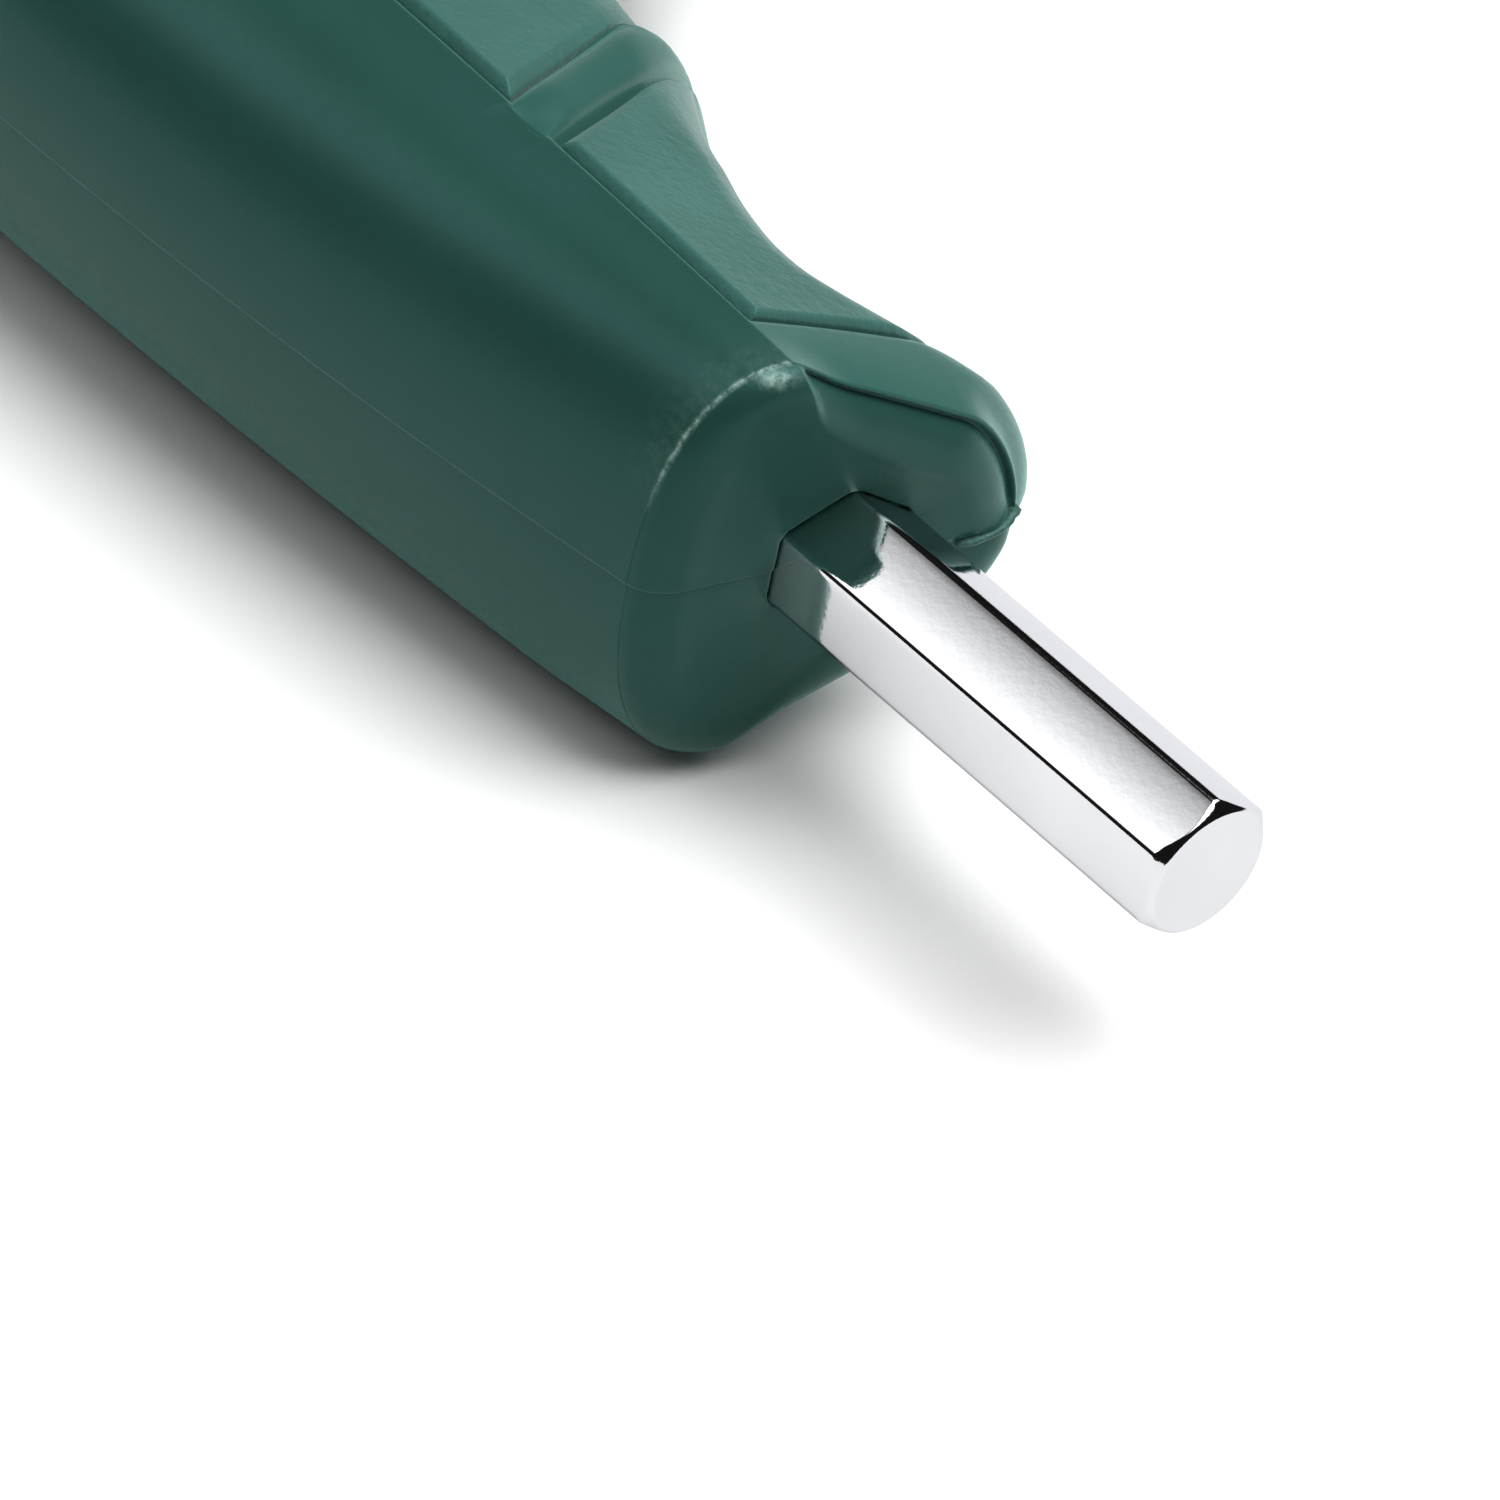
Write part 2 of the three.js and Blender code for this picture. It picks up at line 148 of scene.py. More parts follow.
def turned_end(outline, depth):
    """The section at a depth below the tip, cut by the turned cone with a softly rounded edge."""
    radius = np.hypot(outline[:, 0], outline[:, 1])
    cone = tip_disc - tip_edge + tip_slope * depth + tip_edge * min(1.0, depth / tip_blend) ** 0.5
    smaller = np.minimum(radius, cone)
    near = np.clip(tip_blend - np.abs(radius - cone), 0, None)
    cut = smaller - near * near / (4 * tip_blend)
    return outline * (cut / radius)[:, None]


def bar_rings():
    """Rings of the bar from the short tip, round the bend, to the long tip."""
    outline = hexagon_outline()
    disc = outline / np.hypot(*outline.T)[:, None] * (tip_disc - tip_edge)
    disc_shares = (0.35, 0.7, 0.92, 0.985)
    tip_depths = [0, 0.006, 0.02, 0.04, 0.07, 0.1, 0.13, 0.16, 0.19, 0.22, 0.26, 0.3, 0.34, 0.38, 0.42, 0.46,
                  0.5, 0.55, 0.62, 0.75, 1.0]
    rings = [[(short_reach, a, z) for a, z in disc * share] for share in disc_shares]
    for depth in tip_depths:
        rings.append([(short_reach - depth, a, z) for a, z in turned_end(outline, depth)])
    for x in np.linspace(short_reach - 1, bend_radius, 30)[1:]:
        rings.append([(x, a, z) for a, z in outline])
    for turn in np.linspace(0, math.pi / 2, 25)[1:]:
        rings.append([(bend_radius - (bend_radius - a) * math.sin(turn),
                       bend_radius - (bend_radius - a) * math.cos(turn), z) for a, z in outline])
    for y in np.linspace(bend_radius, long_reach - 1, 60)[1:-1]:
        rings.append([(a, y, z) for a, z in outline])
    for depth in reversed(tip_depths):
        rings.append([(a, long_reach - depth, z) for a, z in turned_end(outline, depth)])
    rings += [[(a, long_reach, z) for a, z in disc * share] for share in reversed(disc_shares)]
    return rings


plating, plating_shader, add, join = new_finish("bright_plating")
place = add("ShaderNodeTexCoord").outputs["Object"]
plating_shader.inputs["Metallic"].default_value = 1.0
ripple = add("ShaderNodeTexNoise", {"Vector": place, "Scale": 2600, "Detail": 3, "Roughness": 0.6})
haze = add("ShaderNodeTexNoise", {"Vector": place, "Scale": 180, "Detail": 4})
tone = add("ShaderNodeMapRange", {0: haze.outputs["Fac"], 1: 0.3, 2: 0.7, 3: 0.0, 4: 1.0})
colour = add("ShaderNodeMixRGB", {"Fac": tone.outputs[0], 1: (0.56, 0.565, 0.58, 1),
                                  2: (0.6, 0.605, 0.62, 1)})
join(colour.outputs[0], "Base Color")
gloss = add("ShaderNodeMapRange", {0: haze.outputs["Fac"], 1: 0.3, 2: 0.7, 3: 0.035, 4: 0.07})
join(gloss.outputs[0], "Roughness")
peel = add("ShaderNodeBump", {"Height": ripple.outputs["Fac"], "Strength": 1.0, "Distance": 2.8e-6})
join(peel.outputs[0], "Normal")
plating_shader.inputs["Specular Tint"].default_value = (0.75, 0.75, 0.775, 1)

rings = bar_rings()
count = len(rings[0])
points = np.concatenate([np.array(ring) for ring in rings] + [[(short_reach, 0, 0), (0, long_reach, 0)]])
faces = []
for k in range(len(rings) - 1):
    faces += band_faces(k * count, (k + 1) * count, count, True)
last = (len(rings) - 1) * count
for k in range(count):
    n = (k + 1) % count
    faces.append((len(points) - 2, n, k))
    faces.append((len(points) - 1, last + k, last + n))
bar = make_piece("plated_hex_bar", points, faces, plating, weld=False)
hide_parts("hex_key")
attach(bar, "root")

# The grip: one dark green plastic moulding round the bar, with a broad palm side, finger scoops at the hub,
# and three pockets on each face, parted by ribs. It is made in a two-part mould: its parting line runs in
# the plane of both arms, where the lower half sits back a little, and its end stands out of a sharp rim.

end_reach = 44.65
end_lean = math.radians(12.3)
palm_middle = 12.6
palm_end = 9.1
hub_half = 8.0
hub_reach = 28.0
hub_corner = 2.0
hub_round = 0.6
scoop_radius = 13.3
cusp_reach = 23.1
cusp_depth = 11.6
waist_reach = 34.9
waist_depth = 6.1
lip_depth = 10.8
rim_depth = 8.6
lip_length = 2.95
ridge_back_middle = 2.8
ridge_back_end = 3.6
ridge_middle = 10.5
ridge_end = 10.1
hub_fall = math.tan(math.radians(7))
arm_fall = math.tan(math.radians(19.75))
fall_growth = 1.9
flat_bow = 167.0
nose_places = (21.3, 30.2, 37.1, 44.65)
nose_radii = (5.6, 3.4, 4.4, 3.1)
rib_reach = 26.6
rib_lean = math.tan(math.radians(21))
rib_half = 1.42
rib_rise = 0.45
pocket_reach = 40.65
pocket_lean = math.tan(math.radians(5.5))
pocket_ridge = 0.45
pocket_margin = 1.2
field_margin = 3.0
field_start = 2.2
hub_margin = 3.0
pocket_sink = 1.3
groove = 0.3
groove_sink = 0.7
foot_groove = 0.25
foot_sink = 0.12
end_roll = 0.4
parting_step = 0.09
hole_flats = half_flats + 0.04
hole_corner = 0.32


def end_x(y):
    return end_reach + math.tan(end_lean) * y


def smooth(share):
    share = np.clip(share, 0, 1)
    return share * share * (3 - 2 * share)


def bezier(corners, steps):
    """Points of a curve from its control points."""
    share = np.linspace(0, 1, steps + 1)[:, None]
    rows = [np.repeat(np.array([corner], float), steps + 1, 0) for corner in corners]
    while len(rows) > 1:
        rows = [a + (b - a) * share for a, b in zip(rows, rows[1:])]
    return rows[0]


def lerp(a, b, share):
    return a + (b - a) * share


def ridge_y(x):
    return -lerp(ridge_back_middle, ridge_back_end, (x / end_x(-ridge_back_end)) ** 2)


lip_start = end_x(rim_depth) - lip_length
scoop_middle = (hub_half + scoop_radius, cusp_depth + scoop_radius)
scoop_turns = np.linspace(math.pi, 1.5 * math.pi, 61)
scoop = np.column_stack([scoop_middle[0] + scoop_radius * np.cos(scoop_turns),
                         scoop_middle[1] + scoop_radius * np.sin(scoop_turns)])
wing_edge = np.concatenate([
    bezier([(cusp_reach, cusp_depth),
            (lerp(cusp_reach, waist_reach, 0.26), lerp(cusp_depth, waist_depth, 0.38)),
            (lerp(cusp_reach, waist_reach, 0.63), waist_depth), (waist_reach, waist_depth)], 40),
    bezier([(waist_reach, waist_depth), (lerp(waist_reach, lip_start, 0.4), waist_depth),
            (lerp(waist_reach, lip_start, 0.74), lip_depth), (lip_start, lip_depth)], 40)[1:],
    bezier([(lip_start, lip_depth), (lip_start + 0.7 * lip_length, lip_depth),
            (lip_start + lip_length, rim_depth)], 16)[1:]])
hub_top = hub_reach + nose_radii[0]
hub_turn = bezier([(hub_half - hub_corner, hub_top), (hub_half, hub_top),
                   (hub_half, hub_top - hub_corner)], 8)
finger_edge = np.concatenate([[(0, hub_top)], hub_turn, scoop, wing_edge])
rail = np.concatenate([[(x, hub_reach) for x in np.linspace(0, hub_half, 40)],
                       [(hub_half, y) for y in np.linspace(hub_reach, scoop_middle[1], 16)[1:]], scoop[1:],
                       [(x, cusp_depth) for x in np.linspace(scoop_middle[0], cusp_reach, 12)[1:-1]],
                       wing_edge])
rail_length = np.concatenate([[0], np.cumsum(np.hypot(*np.diff(rail, axis=0).T))])


def rail_at(length):
    return np.column_stack([np.interp(length, rail_length, column) for column in rail.T])


def rail_where(off_line):
    """How far along the finger edge a section line meets it: off_line is negative before it."""
    side = off_line(rail[:, 0], rail[:, 1])
    start = int(np.argmax((rail_length > hub_half + 3) & (side < 0)))
    k = start + int(np.argmax(side[start:] >= 0)) - 1
    return lerp(rail_length[k], rail_length[k + 1], -side[k] / (side[k + 1] - side[k]))


def edge_distance(points):
    """Distance in plan from the finger edge."""
    nearest = np.full(len(points), 1e9)
    for start, step in zip(finger_edge[:-1], np.diff(finger_edge, axis=0)):
        size = step @ step
        if size < 1e-12:
            continue
        share = np.clip(((points - start) @ step) / size, 0, 1)
        gap = points - start - share[:, None] * step
        nearest = np.minimum(nearest, (gap * gap).sum(1))
    return np.sqrt(nearest)


def nose_share(points):
    """Share of the full height left by the rounding towards the finger edge."""
    radius = np.interp(points[:, 0], nose_places, nose_radii)
    inside = 1 - np.minimum(edge_distance(points) / radius, 1)
    return np.sqrt(np.clip(1 - inside * inside, 0, 1))


def ridge_height(x):
    return lerp(ridge_middle, ridge_end, (x / end_x(-ridge_back_end)) ** 2)


def face_height(points):
    """Height of the face over the parting plane, before pockets and ribs."""
    x, y = points.T
    below = y - ridge_y(x)
    fall = lerp(hub_fall, arm_fall, np.clip((x - 4) / (pocket_reach - 4), 0, 1.15) ** fall_growth)
    height = (ridge_height(x) - fall * below - below * below / (2 * flat_bow)) * nose_share(points)
    roll_start = pocket_reach + 0.65 + pocket_lean * (y + ridge_back_end)
    roll = np.clip((x - roll_start) / np.maximum(end_x(y) - roll_start, 0.5), 0, 1)
    height = height - end_roll * roll * roll * smooth(below / 3)
    hub_edge = np.clip((y - hub_reach + hub_round) / hub_round, 0, 1)
    return height - hub_round * (1 - np.sqrt(1 - hub_edge * hub_edge)) * np.clip(height / 3, 0, 1)


def rib_line(offset):
    """Where the line beside the rib, at an offset towards the end, meets the ridge and the finger edge."""
    start = rib_reach + offset
    return start, rail_where(lambda x, y: x - start + rib_lean * (y + ridge_back_end))


def cross_line(start):
    """The same for a line across the wing, at the pocket's end."""
    return start, rail_where(lambda x, y: x - start - pocket_lean * (y + ridge_back_end))


hub_block = rib_line(-rib_half - 1)
wing_block = rib_line(rib_half + 1)
last_block = cross_line(pocket_reach - 1)
rim_block = (end_x(-ridge_back_end), rail_length[-1])
line_knots = [(0, 0), (hub_half * hub_block[0] / hub_block[1], hub_half), hub_block,
              rib_line(-rib_half), rib_line(rib_half), wing_block,
              last_block, cross_line(pocket_reach), cross_line(pocket_reach + 0.8), rim_block]
knot_ridge = [knot[0] for knot in line_knots]
knot_rail = [knot[1] for knot in line_knots]
scoop_start = hub_half + 9
close_lines = np.array((-0.3, -0.15, -0.05, 0, 0.05, 0.15, 0.3))
scoop_lines = np.interp(scoop_start, knot_rail, knot_ridge) + close_lines


def section_rails(ridge_x):
    """For each section line: its points on the ridge, in the pocket, on its edge and on the finger edge."""
    length = np.interp(ridge_x, knot_ridge, knot_rail)
    ridge = np.column_stack([ridge_x, ridge_y(ridge_x)])
    edge = rail_at(length)
    ahead = rail_at(length + 0.05) - rail_at(length - 0.05)
    inward = np.column_stack([ahead[:, 1], -ahead[:, 0]]) / np.hypot(*ahead.T)[:, None]
    after = rail_at(np.array([scoop_start]))[0]
    after_in = (after - scoop_middle) / scoop_radius
    rails = []
    for margin, depth, inset in ((field_margin, hub_margin + field_margin - pocket_margin, 1.1),
                                 (pocket_margin, hub_margin, 0)):
        square = edge + inward * margin
        corner = np.array([hub_half - margin - inset, hub_reach - depth - inset])
        on_top = np.column_stack([length * corner[0] / hub_half, np.full(len(length), corner[1])])
        share = np.clip((length - hub_half) / (scoop_start - hub_half), 0, 1)[:, None]
        on_side = lerp(corner, after + after_in * margin, share)
        square = np.where((length < scoop_start)[:, None], on_side, square)
        square = np.where((length < hub_half)[:, None], on_top, square)
        low, high = np.zeros(len(length)), np.ones(len(length))
        for _ in range(24):
            share = (low + high) / 2
            near = edge_distance(edge + (ridge - edge) * share[:, None]) < margin
            low = np.where(near, share, low)
            high = np.where(near, high, share)
        straight = edge + (ridge - edge) * low[:, None]
        weight = smooth((length - 20) / (hub_block[1] - 20))[:, None]
        rails.append(lerp(square, straight, weight))
    return ridge, rails[0], rails[1], edge


def plan_row(rails, zone, value):
    """One row of plan points across all section lines."""
    ridge, field, pocket, edge = rails
    if zone == "ridge":
        return ridge + (field - ridge) * (value / (field[:, 1] - ridge[:, 1]))[:, None]
    if zone == "field":
        return lerp(plan_row(rails, "ridge", field_start), field, value)
    if zone == "pocket":
        return lerp(pocket, field, (value - pocket_margin) / (field_margin - pocket_margin))
    return lerp(edge, pocket, value / pocket_margin)


# Soft edge of a pocket: how far off the edge, and how far the surface has sunk there.
# The one along the finger edge is shallower.
edge_steps = [(0.5, 0.0), (0.4, 0.012), (0.3, 0.035), (0.2, 0.08), (0.1, 0.16), (0.04, 0.25), (-0.01, 0.38),
              (-0.05, 0.52), (-0.1, 0.64), (-0.16, groove_sink), (-0.23, groove_sink),
              (0.015 - groove, groove_sink - 0.06), (-groove, pocket_sink)]
foot_steps = [(0.3, 0.0), (0.15, 0.01), (0.05, 0.04), (0.0, 0.07), (-0.05, 0.1), (-0.12, foot_sink),
              (-0.19, foot_sink), (0.015 - foot_groove, foot_sink - 0.02), (-foot_groove, pocket_sink)]
face_rows = [("ridge", 0.0, 0.0), ("ridge", 0.03, 0.0), ("ridge", 0.08, 0.0)]
face_rows += [("ridge", pocket_ridge - off, sink) for off, sink in edge_steps if off < 0.35]
face_rows += [("ridge", value, pocket_sink) for value in (1.0, 1.5, field_start)]
face_rows += [("field", share, pocket_sink) for share in np.linspace(0, 1, 12)[1:]]
face_rows += [("pocket", value, pocket_sink) for value in (2.5, 2.0, 1.7)]
face_rows += [("pocket", pocket_margin - off, sink) for off, sink in reversed(foot_steps) if off < 0]
face_rows += [("edge", pocket_margin - off, sink) for off, sink in reversed(foot_steps) if off >= 0]
face_rows += [("edge", value, 0.0) for value in
              (0.82, 0.7, 0.58, 0.47, 0.37, 0.28, 0.2, 0.13, 0.08, 0.04, 0.01, 0.0)]

# Section lines of half the grip: ridge position and sink allowed there
section_lines = [(x, pocket_sink) for x in np.linspace(0, knot_ridge[1] - 0.5, 12)]
section_lines += [(knot_ridge[1] + off, pocket_sink) for off in close_lines]
section_lines += [(x, pocket_sink) for x in np.linspace(knot_ridge[1] + 0.6, knot_ridge[2], 32)]
section_lines += [(knot_ridge[3] - off, pocket_sink) for off in (0.8, 0.6, 0.4)]
section_lines += [(knot_ridge[3] + off, sink) for off, sink in reversed(edge_steps)]
section_lines += [(x, 0.0) for x in np.linspace(knot_ridge[3] + 0.6, knot_ridge[4] - 0.6, 15)]
section_lines += [(knot_ridge[4] - off, sink) for off, sink in edge_steps]
section_lines += [(knot_ridge[4] + off, pocket_sink) for off in (0.4, 0.6, 0.8)]
section_lines += [(x, pocket_sink) for x in np.linspace(knot_ridge[5], knot_ridge[6], 34)]
section_lines += [(knot_ridge[7] - off, pocket_sink) for off in (0.8, 0.6, 0.4)]
section_lines += [(knot_ridge[7] + off, sink) for off, sink in reversed(edge_steps)]
section_lines += [(x, 0.0) for x in np.linspace(knot_ridge[7] + 0.65, knot_ridge[9] - 0.3, 10)]
section_lines += [(knot_ridge[9] - off, 0.0) for off in (0.18, 0.09, 0.03, 0.0)]
section_lines += [(x, pocket_sink) for x in scoop_lines]
section_lines.sort()

line_x = np.array([line[0] for line in section_lines])
line_sink = np.array([line[1] for line in section_lines])
across_rib = np.clip((line_x - knot_ridge[3]) / (knot_ridge[4] - knot_ridge[3]), 0, 1)
on_rib = np.sin(math.pi * across_rib)
line_rise = rib_rise * on_rib ** 0.75
rails = section_rails(line_x)
ridge_top = ridge_height(line_x)


def run_out(rails, row, ridge_x):
    """How much is left of a groove beside the rib, which fades out towards the finger edge."""
    across = (row[:, 1] - rails[0][:, 1]) / (rails[3][:, 1] - rails[0][:, 1])
    beside_rib = np.abs(ridge_x - rib_reach) < rib_half + 1
    return np.where(beside_rib, 1 - 0.82 * smooth((across - 0.3) / 0.5), 1.0)


# Cheek: from the parting line on the palm up to the ridge
palm_share = line_x / end_x(-ridge_back_end)
palm = np.column_stack([palm_share * end_x(-palm_end), lerp(-palm_middle, -palm_end, palm_share ** 2)])
cheek_rows = 1 - np.concatenate([[0, 0.006], np.linspace(0.02, 0.93, 38), [0.955, 0.975, 0.99]])
rib_run_out = 0.16
ridge_line = np.column_stack([rails[0], ridge_top])
cheek_corners = [ridge_line, np.column_stack([lerp(rails[0], palm, 0.66), ridge_top]),
                 np.column_stack([palm, 0.62 * ridge_top]), np.column_stack([palm, 0 * ridge_top])]
grid = []
for share in cheek_rows:
    curves = cheek_corners
    while len(curves) > 1:
        curves = [lerp(a, b, share) for a, b in zip(curves, curves[1:])]
    row = curves[0]
    off_ridge = np.hypot(*(row - ridge_line).T[:2])
    row[:, 2] -= rib_run_out * on_rib * np.clip(1 - off_ridge / 1.6, 0, 1) ** 2
    grid.append(row)
for zone, value, sink in face_rows:
    row = plan_row(rails, zone, value)
    height = face_height(row)
    below = row[:, 1] - ridge_y(row[:, 0])
    rise = line_rise * smooth(below / 2.4) * np.clip(height / 4, 0, 1)
    soft_ridge = 0.03 * np.clip(1 - below / 0.14, 0, 1) ** 2
    soft_ridge = soft_ridge + rib_run_out * on_rib * np.clip(1 - below / 1.2, 0, 1) ** 2
    cross_sink = np.where(line_sink > groove_sink, line_sink, line_sink * run_out(rails, row, line_x))
    level = height + rise - np.minimum(cross_sink, sink) - soft_ridge
    if zone == "edge" and value == 0.0:
        level = np.where(row[:, 1] > hub_reach - 0.001, level, 0.0)
    grid.append(np.column_stack([row, np.maximum(level, 0)]))
upper = np.array(grid)
rows, lines = upper.shape[:2]
ridge_row = len(cheek_rows)

# Lower half: mirrored, set back a little at the parting line, and thinner towards the ends
lower = upper.copy()
lower[:, :, 2] *= -1
set_back = smooth(1 - (upper[:, :, 2] / ridge_middle)) * smooth((-lower[:, :, 1] - 2) / 4)
lower[:, :, 1] += parting_step * set_back
lower[:, :, 2] *= 1 - 0.035 * smooth((lower[:, :, 0] - 36) / 8)
lower[0, :, 2] -= 0.02

# Profile of the end: how far in from the rim, and how far the end stands out of the rim's plane there.
# The palm side has a sharp rim, and the finger side a round one with a shallow groove inside it.
palm_profile = np.array([
    (0.03, 0.0), (0.04, 0.08), (0.07, 0.18), (0.12, 0.3), (0.2, 0.43), (0.3, 0.55), (0.43, 0.67),
    (0.58, 0.78), (0.75, 0.87), (0.95, 0.95), (1.15, 1.01), (1.35, 1.05), (1.6, 1.08), (1.9, 1.09),
    (2.2, 1.08), (2.6, 1.05)])
finger_profile = np.array([
    (0.05, 0.07), (0.11, 0.1), (0.17, 0.07), (0.23, -0.02), (0.29, -0.13), (0.36, -0.19), (0.43, -0.16),
    (0.49, -0.06), (0.55, 0.06), (0.65, 0.2), (0.82, 0.36), (1.05, 0.53), (1.35, 0.7), (1.7, 0.84),
    (2.1, 0.95), (2.6, 1.05)])
dome_rise = -0.2


def hexagon_reach(turn, flats):
    """Distance from the axis to a hexagon's side in a direction."""
    return flats / np.cos((turn + math.pi / 6) % (math.pi / 3) - math.pi / 6)


def end_rings(loop, hole):
    """Rings from the rim of an end inwards, to the bar's hole and down it, or to the middle."""
    y, z = loop[:, 1], loop[:, 2]
    radius = np.hypot(y / math.cos(end_lean), z)
    turn = np.arctan2(z, y)
    back = np.where(z < -0.001, parting_step, 0.0)
    rings = []

    def ring(ys, zs, out):
        x = end_x(ys) + (out - back * np.minimum(1, out)) / math.cos(end_lean)
        rings.append(np.column_stack([x, ys, zs]))

    finger_side = smooth((y + ridge_back_end - 0.05) / 0.9) * smooth((z + 1.6) / 3)
    for on_palm, on_finger in zip(palm_profile, finger_profile):
        inset = lerp(on_palm[0], on_finger[0], finger_side)
        share = 1 - inset / radius
        ring(y * share, z * share, lerp(on_palm[1], on_finger[1], finger_side))
    share = 1 - palm_profile[-1][0] / radius
    outer_y, outer_z = y * share, z * share
    if hole:
        reach = np.minimum(hexagon_reach(turn, hole), hole + hole_corner)
    else:
        reach = np.full(len(y), 0.35)
    hole_y, hole_z = reach * np.cos(turn), reach * np.sin(turn)
    for share in (0.12, 0.26, 0.42, 0.58, 0.74, 0.87, 0.95, 0.985):
        off_hole = (1 - share) * np.hypot(outer_y - hole_y, outer_z - hole_z)
        out = palm_profile[-1][1] + dome_rise * np.exp(-off_hole / 1.1)
        ring(lerp(outer_y, hole_y, share), lerp(outer_z, hole_z, share), out)
    if hole:
        edge = palm_profile[-1][1] + dome_rise
        for fall in (0.03, 0.12, 0.4, 2.0, 6.0):
            ring(hole_y, hole_z, np.full(len(y), edge - fall))
        ring(hole_y * 0.5, hole_z * 0.5, np.full(len(y), edge - 6.0))
    return rings


def hub_rings(loop):
    """Rings from the hub's edge over its flat end to the hole round the long arm, and down it."""
    x, z = loop[:, 0], loop[:, 2]
    turn = np.arctan2(z, x)
    reach = np.minimum(hexagon_reach(turn, hole_flats), hole_flats + hole_corner)
    hole_x, hole_z = reach * np.cos(turn), reach * np.sin(turn)
    level = np.full(len(x), hub_reach)
    rings = []
    for share in (0.03, 0.1, 0.25, 0.5, 0.75, 0.92, 0.985, 1.0):
        rings.append(np.column_stack([lerp(x, hole_x, share), level, lerp(z, hole_z, share)]))
    for fall in (0.05, 0.3, 6.0):
        rings.append(np.column_stack([hole_x, level - fall, hole_z]))
    rings.append(np.column_stack([hole_x * 0.5, level - 6, hole_z * 0.5]))
    return rings


points = []
faces = []
top_face_sheen = []


def add_points(block, painted_sheen=0.0):
    """Adds points, with how far each takes the upper face's lighter tone, a painted sheen, and gives the
    first one's number.
    """
    start = len(points)
    added = np.asarray(block).reshape(-1, 3)
    points.extend(added.tolist())
    top_face_sheen.extend(np.broadcast_to(painted_sheen, len(added)).tolist())
    return start


def add_rings(loop, rings, painted_sheen=0.0):
    """Closed bands from a loop through its rings to a closing point."""
    count = len(loop)
    before = add_points(loop, painted_sheen)
    for k, ring in enumerate(rings):
        # The painted sheen fades out over the first rings of an end.
        start = add_points(ring, painted_sheen * smooth((6 - k) / 4))
        faces.extend(band_faces(before, start, count, True))
        before = start
    middle = add_points([rings[-1].mean(0)])
    for k in range(count):
        faces.append((before + k, before + (k + 1) % count, middle))


# The upper face is painted lighter than the palm: a painted sheen standing for its grazing reflection.
row_sheen = np.concatenate([np.zeros(ridge_row), smooth((np.arange(rows - ridge_row) + 0.5) / 3)])
hub_lines = [k for k in range(lines) if upper[-1, k, 1] > hub_reach - 0.001]
for side in (1, -1):
    flip = np.array([side, 1, 1])
    starts = []
    for half in (upper, lower):
        start = add_points(half * flip, np.repeat(row_sheen, lines))
        starts.append(start)
        for r in range(rows - 1):
            faces.extend(band_faces(start + r * lines, start + (r + 1) * lines, lines, False))
    faces.extend(band_faces(starts[0], starts[1], lines, False))
    loop = np.concatenate([upper[:, -1], lower[-2::-1, -1]])
    rings = end_rings(loop, hole_flats if side == 1 else None)
    add_rings(loop * flip, [ring * flip for ring in rings], np.concatenate([row_sheen, row_sheen[-2::-1]]))
top = upper[-1, hub_lines]
crown = np.concatenate([top[::-1], top[1:] * (-1, 1, 1)])
loop = np.concatenate([crown, (crown * (1, 1, -1))[::-1][1:-1]])
add_rings(loop, hub_rings(loop))

# Flash: a thin fin squeezed out along the parting line, from the bar's hole to the finger edge
fin_start, fin_end = 5.2, 8.6
fin_rings = []
for share in np.linspace(0, 1, 15):
    y = lerp(fin_start, fin_end, share)
    z = lerp(-0.4, 0.15, share) + 0.06 * math.sin(9 * share)
    inset = max(rim_depth - y, 0) / math.cos(end_lean)
    end_out = (np.interp(inset, *palm_profile.T) + np.interp(inset, *finger_profile.T)) / 2
    foot = end_x(y) + end_out * min(1, inset / 0.1) / math.cos(end_lean)
    tall = (0.27 + 0.08 * math.sin(7 * share + 1)) * min(1, 6 * share + 0.25)
    fin_rings.append([(foot - 0.3, y, z - 0.1), (foot + tall, y, z - 0.04), (foot + tall, y, z + 0.04),
                      (foot - 0.3, y, z + 0.1)])
before = fin_first = add_points(fin_rings[0])
faces.append((before, before + 1, before + 2, before + 3))
for ring in fin_rings[1:]:
    start = add_points(ring)
    faces.extend(band_faces(before, start, 4, True))
    before = start
faces.append((before + 3, before + 2, before + 1, before))
fin_last = len(points)

# Painted highlight and wear: the palm side's rim is painted pale along its sharp edge as a painted
# highlight. It is palest where it meets the ridge, a spot that is partly chafing and partly painted
# highlight.
steps = np.linspace(0, ridge_row - 1, 6 * ridge_row)
pale_rim_line = np.column_stack([np.interp(steps, np.arange(ridge_row), column)
                              for column in upper[:ridge_row, -1].T])
pale_spot_middle = (end_x(-4.4) + 0.3, -4.4, 9.72)
rim_highlight_and_chafe = np.zeros(len(points))
for k, point in enumerate(np.array(points)):
    if point[0] < 38 or point[1] > -2.5 or point[2] < 1:
        continue
    off_rim = np.sqrt(((pale_rim_line - point) ** 2).sum(1).min())
    off_middle = np.linalg.norm((point - pale_spot_middle) * (0.5, 0.5, 1.5))
    off_end = point[0] - end_x(point[1])
    edge = math.exp(-(off_rim / 0.09) ** 2)
    spread = 0.06 * math.exp(-(off_rim / 1.6) ** 2) * (off_end < 0)
    spot = 1.1 * math.exp(-(off_middle / 0.34) ** 2) * (off_end > -0.02)
    rim_highlight_and_chafe[k] = smooth((point[2] - 3) / 4) * (edge + spread) + spot
# The flash fin is painted a little pale as well.
rim_highlight_and_chafe[fin_first:fin_last] = 0.2

